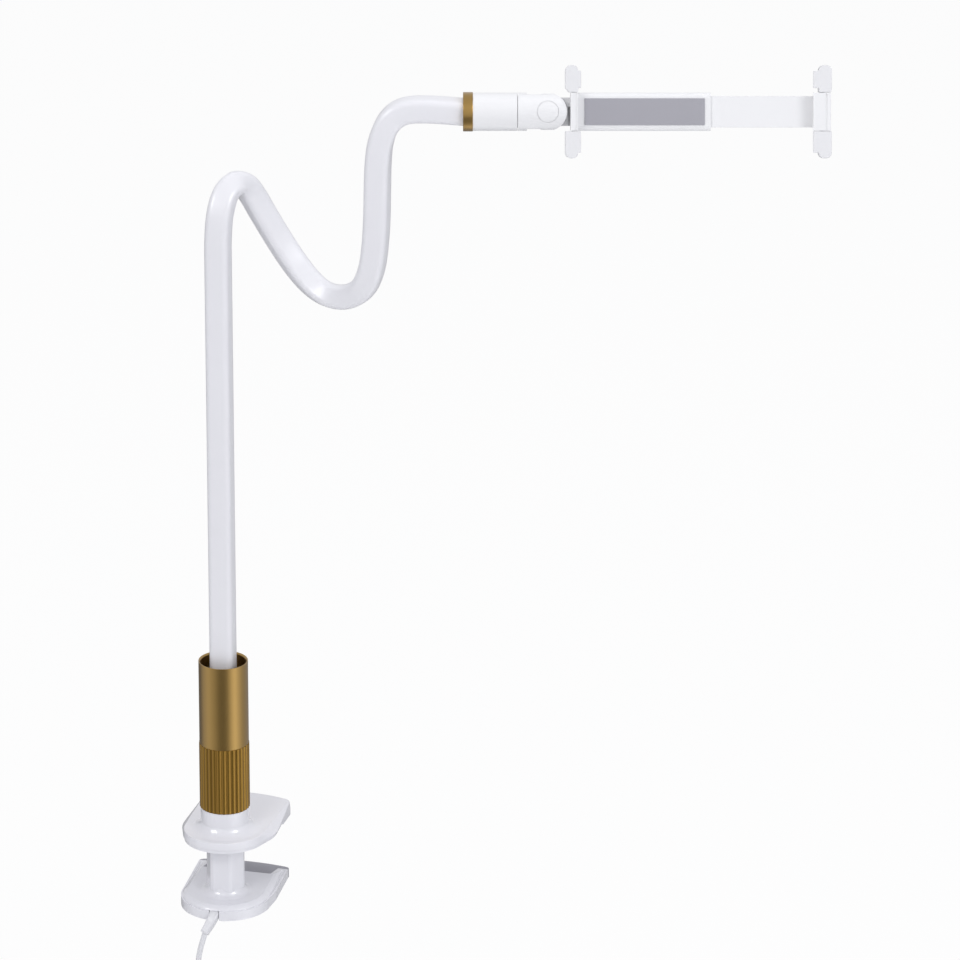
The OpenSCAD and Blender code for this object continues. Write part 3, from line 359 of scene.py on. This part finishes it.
def weighNormals(mesh, degrees):
    # a corner's normal leans to the larger faces round it, so walls stay flat to their roundings
    limit = math.cos(math.radians(degrees))
    around = [[] for _ in mesh.vertices]
    for face in mesh.polygons:
        for vertex in face.vertices:
            around[vertex].append(face)
    normals = [Vector((0, 0, 1))] * len(mesh.loops)
    for face in mesh.polygons:
        for k in face.loop_indices:
            near = [f for f in around[mesh.loops[k].vertex_index]
                    if f.normal.dot(face.normal) > limit]
            normals[k] = sum((f.normal * f.area for f in near),
                             face.normal * face.area).normalized()
    mesh.normals_split_custom_set(normals)


# a scored line down the front of the sliding jaw, in mm; the head leans back by so many degrees,
# and reach is how far from the line, across and along, the front is cut for it
scorePlan = {"piece": "sliding_jaw", "centre": (374.15, -16, 529.5), "wide": 0.9, "high": 22.4,
             "deep": 0.6, "slope": 0.08, "lean": 18.7, "reach": (8, 12), "facing": 0.999,
             "weld": 0.0005}


def scoreFront(bm, plan):
    lean = math.radians(plan["lean"])
    front = Vector((0, -math.cos(lean), math.sin(lean)))
    right, up = Vector((1, 0, 0)), Vector((0, math.sin(lean), math.cos(lean)))
    centre = mm(*plan["centre"])

    def frontFaces(across, along):
        faces = [f for f in bm.faces if f.normal.dot(front) > plan["facing"]]
        offsets = [f.calc_center_median() - centre for f in faces]
        return [f for f, o in zip(faces, offsets)
                if abs(o.dot(right)) < across / 1000 and abs(o.dot(up)) < along / 1000]

    for normal, half in ((right, plan["wide"] / 2), (up, plan["high"] / 2)):
        for side in (-1, 1):
            faces = frontFaces(*plan["reach"])
            edges = list(dict.fromkeys(e for f in faces for e in f.edges))
            verts = list(dict.fromkeys(v for f in faces for v in f.verts))
            bmesh.ops.bisect_plane(bm, geom=faces + edges + verts, dist=plan["weld"] / 1000,
                                   plane_co=centre + normal * side * half / 1000,
                                   plane_no=normal)
    bmesh.ops.inset_region(bm, faces=frontFaces(plan["wide"] / 2, plan["high"] / 2),
                           use_even_offset=True, thickness=plan["slope"] / 1000,
                           depth=-plan["deep"] / 1000)


# how far each rigid piece's edges are rounded, in mm
edgeRounds = {
    "lower_jaw": 0.4, "light_cover": 0.4, "upper_jaw": 0.45, "upper_jaw_cover": 0.3,
    "lower_jaw_pad": 0.4, "upper_jaw_pad": 0.4, "grip_knob": 0.22, "sleeve": 0.25,
    "head_ring": 0.3, "head_socket": 0.3, "knuckle": 0.45, "pivot_caps": 0.35,
    "holder_body": 0.4, "holder_cover": 0.25, "back_pad": 0.3,
    "left_top_pad": 0.5, "left_bottom_pad": 0.5, "right_top_pad": 0.5, "right_bottom_pad": 0.5,
    "sliding_jaw": 0.4, "cord_tie": 0.3, "foot_ferrule": 0.3, "plug_shell": 0.15,
    "base_screws": 0.15, "cover_screws": 0.15, "holder_screws": 0.15,
}
# in degrees: an edge sharper than sharpFrom is rounded, faces within mergeBelow count as one,
# and faces within smoothBelow shade as one; plainFace is the least area, in square mm, of the
# faces on both sides of a rounded edge, and weld the distance in mm at which corners are joined
rounding = {"sharpFrom": 35, "mergeBelow": 0.5, "smoothBelow": 28, "plainFace": 0.0,
            "weld": 0.005, "segments": 2}
ownRounding = {
    "lower_jaw": {"mergeBelow": 0.02, "smoothBelow": 24, "plainFace": 4.0},
    "light_cover": {"mergeBelow": 0.02, "plainFace": 8.0},
    "grip_knob": {"smoothBelow": 50},
}


def roundedCopy(name, width):
    # a merged copy of the solid, with its sharp edges rounded
    plan = {**rounding, **ownRounding.get(name, {})}
    bm = bmesh.new()
    bm.from_mesh(nodes[name].data)
    bmesh.ops.remove_doubles(bm, verts=bm.verts, dist=plan["weld"] / 1000)
    bmesh.ops.dissolve_limit(bm, angle_limit=math.radians(plan["mergeBelow"]), verts=bm.verts,
                             edges=bm.edges)
    sharp = [e for e in bm.edges
             if e.is_manifold and e.calc_face_angle(0) > math.radians(plan["sharpFrom"])
             and min(f.calc_area() for f in e.link_faces) >= plan["plainFace"] / 1e6]
    bmesh.ops.bevel(bm, geom=sharp, offset=width / 1000, offset_type="OFFSET",
                    segments=plan["segments"], profile=0.5, affect="EDGES", clamp_overlap=True,
                    material=-1, loop_slide=True)
    if name == scorePlan["piece"]:
        scoreFront(bm, scorePlan)
    mesh = meshFrom(bm, name + "Rounded")
    smoothByAngle(mesh, plan["smoothBelow"])
    weighNormals(mesh, plan["smoothBelow"])
    finishObject(name + "_rounded", mesh, bodyOf[name], lookOf[name], [name])


for nodeName, roundWidth in edgeRounds.items():
    roundedCopy(nodeName, roundWidth)
print("edges rounded")


def alongAt(points, i):
    return (points[min(i + 1, len(points) - 1)] - points[max(i - 1, 0)]).normalized()


def axesAt(place, side, along):
    turn = Matrix((side, along.cross(side), along)).transposed().to_4x4()
    return Matrix.Translation(place) @ turn


def sweptSquare(name, side, corner, stations, segments=6, smoothBelow=50):
    # a square with rounded corners, carried from station to station and closed at both ends
    bm = bmesh.new()
    bmesh.ops.create_circle(bm, cap_ends=True, segments=4, radius=side / 1000 / math.sqrt(2),
                            matrix=stations[0] @ Matrix.Rotation(math.radians(45), 4, "Z"))
    bmesh.ops.bevel(bm, geom=bm.verts[:], offset=corner / 1000, offset_type="OFFSET",
                    segments=segments, profile=0.5, affect="VERTICES", material=-1)
    ring = bm.edges[:]
    for before, after in zip(stations, stations[1:]):
        grown = bmesh.ops.extrude_edge_only(bm, edges=ring)["geom"]
        corners = [g for g in grown if isinstance(g, bmesh.types.BMVert)]
        ring = [g for g in grown
                if isinstance(g, bmesh.types.BMEdge) and all(v in corners for v in g.verts)]
        bmesh.ops.transform(bm, matrix=after @ before.inverted(), verts=corners)
    bmesh.ops.contextual_create(bm, geom=ring)
    bmesh.ops.recalc_face_normals(bm, faces=bm.faces)
    mesh = meshFrom(bm, name)
    smoothByAngle(mesh, smoothBelow)
    return mesh


# the bent arm, in mm: a rounded square along a route of x, y, height over the foot, roll in degrees
armPlan = {
    "foot": 138, "side": 15.3, "corner": 4.0, "steps": 7,
    "route": [
        (0, 0, 0, -15), (0, 0, 140, -15), (0, 0, 260, -15), (0, 0, 285, -15),
        (0.2, 0.3, 304, -15), (1.6, 2.2, 319, -16), (5, 8, 329.5, -20), (10.5, 15, 333.6, -24),
        (16.5, 21, 330.8, -27), (21.5, 24.8, 322.5, -28), (27.5, 27, 310.5, -28),
        (36.5, 28, 294, -28), (46, 25.8, 279.3, -28), (55.2, 20.5, 269, -27),
        (64.6, 13.8, 263.2, -25), (74, 7, 262.4, -22), (83.2, 0, 266.2, -20),
        (90.7, -6, 274.4, -18), (95.5, -10, 288, -16), (97.8, -13, 306, -15),
        (98.8, -15, 324, -15), (99.2, -16, 342, -14), (99.7, -16, 358, -12),
        (101.2, -16, 371, -9), (105, -16, 382.2, -6), (111, -16, 389.4, -3),
        (119, -16, 392.6, -1), (130, -16, 393, 0), (141, -16, 392.4, 0),
        (151.9, -16, 391.5, 0), (162.9, -16, 391.5, 0),
    ],
}


def splinePoint(points, i, t):
    # a smooth curve through the route's points, between the ones numbered i and i + 1
    a, b = points[max(i - 1, 0)], points[i]
    c, d = points[i + 1], points[min(i + 2, len(points) - 1)]
    return [q + 0.5 * t * (r - p + t * (2 * p - 5 * q + 4 * r - s + t * (3 * (q - r) + s - p)))
            for p, q, r, s in zip(a, b, c, d)]


def smoothRoute(points, steps):
    line = [splinePoint(points, i, k / steps) for i in range(len(points) - 1) for k in range(steps)]
    return line + [list(points[-1])]


def makeArm(plan):
    line = smoothRoute(plan["route"], plan["steps"])
    places = [mm(x, y, z + plan["foot"]) for x, y, z, roll in line]
    stations = []
    for i, place in enumerate(places):
        along = alongAt(places, i)
        front = (Vector((0, -1, 0)) + along.y * along).normalized()
        roll = Matrix.Rotation(math.radians(line[i][3]), 4, "Z")
        stations.append(axesAt(place, front, along) @ roll)
    mesh = sweptSquare("bentArm", plan["side"], plan["corner"], stations)
    finishObject("bentArm", mesh, "base", looks["skin"], ["arm_skin"])


makeArm(armPlan)
print("arm bent")


# the relief, in mm: a block moulded on the cord, which turns down in front of the seam and narrows;
# bendFrom, bendTo and stops are shares of the way from the elbow, tipShare that of the last ring
reliefPlan = {
    "root": (-6.9, -25.4, -6.1), "elbow": (-6.9, -29.1, -6.1), "tip": (-12.2, -32.8, -14.4),
    "rootSize": 6.2, "tipSize": 4.7, "corner": 1.3, "past": 1.6, "turnSteps": 8,
    "bendFrom": 0.55, "bendTo": 0.3, "stops": (0.3, 0.5, 0.7, 0.85, 0.96, 1.0),
    "tipShare": 0.86, "up": (0, -0.36, 0.93),
}


def makeRelief(plan):
    root, elbow, tip = (mm(*plan[k]) for k in ("root", "elbow", "tip"))
    tip = tip + (tip - elbow).normalized() * plan["past"] / 1000
    bendStart, bendEnd = elbow.lerp(root, plan["bendFrom"]), elbow.lerp(tip, plan["bendTo"])
    bend = [k / plan["turnSteps"] for k in range(1, plan["turnSteps"])]
    path = [root, bendStart] + [bendStart.lerp(elbow, t).lerp(bendEnd, t) for t in bend]
    path += [elbow.lerp(tip, t) for t in plan["stops"]]
    far = sum((b - a).length for a, b in zip(path, path[1:]))
    done, stations = 0.0, []
    for k, place in enumerate(path):
        along = alongAt(path, k)
        side = along.cross(Vector(plan["up"])).normalized()
        done += (place - path[k - 1]).length if k else 0.0
        size = 1 + (done / far) * (plan["tipSize"] / plan["rootSize"] - 1)
        if k == len(path) - 1:
            size *= plan["tipShare"]
        stations.append(axesAt(place, side, along) @ Matrix.Scale(size, 4))
    mesh = sweptSquare("cordRelief", plan["rootSize"], plan["corner"], stations)
    finishObject("cordRelief", mesh, "base", looks["cord"], ["strain_relief"])


makeRelief(reliefPlan)


# the plug's moulded body, in mm: a rounded block whose shoulder narrows up to the cord
plugPlan = {"top": (-13.6, -37.7, -114), "w": 15.5, "t": 7.6, "l": 27, "shoulder": 5,
            "inset": 1.2, "neckShare": (0.42, 0.9, 1), "sideRound": 1.8, "rimRound": 0.6,
            "rimFrom": 30, "smoothBelow": 40}


def makePlug(plan):
    bm = bmesh.new()
    top = mm(*plan["top"])
    blockLength = plan["l"] - plan["shoulder"]
    bmesh.ops.create_cube(bm, size=1)
    bmesh.ops.scale(bm, vec=(plan["w"] / 1000, plan["t"] / 1000, blockLength / 1000),
                    verts=bm.verts)
    bmesh.ops.translate(bm, vec=top - Vector((0, 0, (plan["l"] + plan["shoulder"]) / 2000)),
                        verts=bm.verts)
    upper = [f for f in bm.faces if f.normal.z > 0.9]
    bmesh.ops.inset_region(bm, faces=upper, thickness=plan["inset"] / 1000)
    neck = bmesh.ops.extrude_discrete_faces(bm, faces=upper)["faces"]
    corners = [v for f in neck for v in f.verts]
    centre = sum((v.co for v in corners), Vector()) / len(corners)
    bmesh.ops.scale(bm, vec=plan["neckShare"], verts=corners, space=Matrix.Translation(-centre))
    bmesh.ops.translate(bm, vec=(0, 0, plan["shoulder"] / 1000), verts=corners)
    upright = [e for e in bm.edges
               if abs(e.verts[0].co.z - e.verts[1].co.z) > blockLength / 2000]
    bmesh.ops.bevel(bm, geom=upright, offset=plan["sideRound"] / 1000, offset_type="OFFSET",
                    segments=4, profile=0.5, affect="EDGES", clamp_overlap=True, material=-1)
    rims = [e for e in bm.edges
            if e.is_manifold and e.calc_face_angle(0) > math.radians(plan["rimFrom"])]
    bmesh.ops.bevel(bm, geom=rims, offset=plan["rimRound"] / 1000, offset_type="OFFSET",
                    segments=3, profile=0.5, affect="EDGES", clamp_overlap=True, material=-1)
    mesh = meshFrom(bm, "plugBody")
    smoothByAngle(mesh, plan["smoothBelow"])
    return finishObject("plugBody", mesh, "base", looks["cord"], ["plug_body"])


plugBody = makePlug(plugPlan)
print("relief and plug made")


# the floor, in m. What gloss sees of it, round the clamp, is a painted reflection: a share of white
# against the angle from the front towards +X, painted as of two bright windows in a room
floorPlan = {
    "z": -0.165, "size": 12.0, "back": 2.0, "colour": (0.86, 0.86, 0.86, 1), "roughness": 0.9,
    "white": 0.93, "gain": 1.8,
    "tones": [(-180, 0.12), (-132, 0.05), (-100, 0.33), (-72, 0.49), (-48, 0.33), (-12, 0.07),
              (14, 0.08), (40, 0.60), (54, 0.95), (72, 0.55), (100, 0.27), (140, 0.19),
              (180, 0.12)],
}


def paintedWindowReflection(tree, tones, gain):
    # painted reflection: broad light and dark sectors round the clamp's axis, seen only by gloss
    coord = addNode(tree, "ShaderNodeTexCoord", (-1600, -200))
    turn = addNode(tree, "ShaderNodeMapping", (-1400, -200), Rotation=(0, 0, math.radians(90)))
    sector = addNode(tree, "ShaderNodeTexGradient", (-1200, -200), gradient_type="RADIAL")
    ramp = addNode(tree, "ShaderNodeValToRGB", (-1000, -200))
    scaled = addNode(tree, "ShaderNodeVectorMath", (-700, -200), operation="SCALE", Scale=gain)
    tree.links.new(coord.outputs["Object"], turn.inputs["Vector"])
    tree.links.new(turn.outputs["Vector"], sector.inputs["Vector"])
    tree.links.new(sector.outputs["Fac"], ramp.inputs["Fac"])
    tree.links.new(ramp.outputs["Color"], scaled.inputs[0])
    ramp.color_ramp.interpolation = "EASE"
    stops = ramp.color_ramp.elements
    last = len(tones) - 1
    for k, (angle, tone) in enumerate(tones):
        place = (angle + 180) / 360
        stop = stops[0] if k == 0 else stops[-1] if k == last else stops.new(place)
        stop.position = place
        stop.color = (tone, tone, tone, 1)
    return scaled.outputs[0]


def cameraWhite(tree, surface, share):
    # the camera sees this share of white over the surface, which still takes light and shadow;
    # returns the mixed surface, and the socket for the colour that gloss sees in place of white
    path = addNode(tree, "ShaderNodeLightPath", (-800, 300))
    both = addNode(tree, "ShaderNodeMath", (-600, 300), operation="MAXIMUM")
    tree.links.new(path.outputs["Is Camera Ray"], both.inputs[0])
    tree.links.new(path.outputs["Is Glossy Ray"], both.inputs[1])
    most = addNode(tree, "ShaderNodeMath", (-400, 300), operation="MAXIMUM")
    tree.links.new(both.outputs[0], most.inputs[0])
    tree.links.new(path.outputs["Is Transmission Ray"], most.inputs[1])
    part = addNode(tree, "ShaderNodeMath", (-200, 300), operation="MULTIPLY")
    part.inputs[1].default_value = share
    tree.links.new(most.outputs[0], part.inputs[0])
    blend = addNode(tree, "ShaderNodeMixRGB", (-400, -100))
    blend.inputs["Color1"].default_value = (1, 1, 1, 1)
    tree.links.new(path.outputs["Is Glossy Ray"], blend.inputs["Fac"])
    glow = addNode(tree, "ShaderNodeEmission", (-200, 0))
    tree.links.new(blend.outputs[0], glow.inputs["Color"])
    mix = addNode(tree, "ShaderNodeMixShader", (200, 200))
    tree.links.new(part.outputs[0], mix.inputs["Fac"])
    tree.links.new(surface, mix.inputs[1])
    tree.links.new(glow.outputs[0], mix.inputs[2])
    return mix.outputs[0], blend.inputs["Color2"]


def makeFloor(plan):
    paper = bpy.data.materials.new("paleFloor")
    paper.use_nodes = True
    tree = paper.node_tree
    diffuse = tree.nodes["Principled BSDF"]
    diffuse.inputs["Base Color"].default_value = plan["colour"]
    diffuse.inputs["Roughness"].default_value = plan["roughness"]
    seen, glossTone = cameraWhite(tree, diffuse.outputs[0], plan["white"])
    tree.links.new(paintedWindowReflection(tree, plan["tones"], plan["gain"]), glossTone)
    tree.links.new(seen, tree.nodes["Material Output"].inputs["Surface"])
    paper.cycles.emission_sampling = "NONE"  # its white lights nothing
    bm = bmesh.new()
    bmesh.ops.create_grid(bm, x_segments=1, y_segments=1, size=plan["size"] / 2)
    bmesh.ops.translate(bm, vec=(0, plan["back"], plan["z"]), verts=bm.verts)
    floor = linkObject("paleFloor", meshFrom(bm, "paleFloor"))
    floor.data.materials.append(paper)


skyPlan = {"colour": (0.93, 0.94, 1.0, 1), "strength": 0.6, "glossTone": (0.75, 0.75, 0.75, 1)}


def makeSky(plan):
    world = bpy.data.worlds.new("studio")
    bpy.context.scene.world = world
    world.use_nodes = True
    tree = world.node_tree
    backdrop = tree.nodes["Background"]
    backdrop.inputs["Color"].default_value = plan["colour"]
    backdrop.inputs["Strength"].default_value = plan["strength"]
    seen, glossTone = cameraWhite(tree, backdrop.outputs[0], 1.0)
    glossTone.default_value = plan["glossTone"]
    tree.links.new(seen, tree.nodes["World Output"].inputs["Surface"])


# place and width in m, power in W; the panels light the object, the sparks only give gloss its
# bright spots
lampPlan = {
    "panels": [("keyPanel", (-0.9, -2.1, 2.1), 0.8, 16, (1.0, 0.99, 0.98)),
               ("fillPanel", (1.4, -2.0, 1.3), 0.9, 14, (0.97, 0.98, 1.0)),
               ("topPanel", (0.2, 0.4, 2.4), 0.9, 12, (1.0, 1.0, 1.0))],
    "panelHeight": 1.4, "panelAim": (0.15, 0, 0.25),
    "sparks": [("leftSpark", (-1.05, -0.7, 1.25), 0.55, 12),
               ("rightSpark", (1.0, -0.75, 1.2), 0.55, 12)],
    "sparkAim": (0, 0, 0.04),
}


def hangLamp(name, place, aim, size, power):
    lamp = bpy.data.lights.new(name, "AREA")
    lamp.size = size
    lamp.energy = power
    stand = linkObject(name, lamp)
    stand.location = place
    towards = Vector(aim) - Vector(place)
    stand.rotation_euler = towards.to_track_quat("-Z", "Y").to_euler()
    return stand


def makeLamps(plan):
    for name, place, size, power, tint in plan["panels"]:
        stand = hangLamp(name, place, plan["panelAim"], size, power)
        stand.data.shape = "RECTANGLE"
        stand.data.size_y = size * plan["panelHeight"]
        stand.data.color = tint
        stand.visible_glossy = False
    for name, place, size, power in plan["sparks"]:
        stand = hangLamp(name, place, plan["sparkAim"], size, power)
        stand.visible_diffuse = False


makeFloor(floorPlan)
makeSky(skyPlan)
makeLamps(lampPlan)
bpy.context.scene.view_settings.view_transform = "Standard"
print("studio lit")
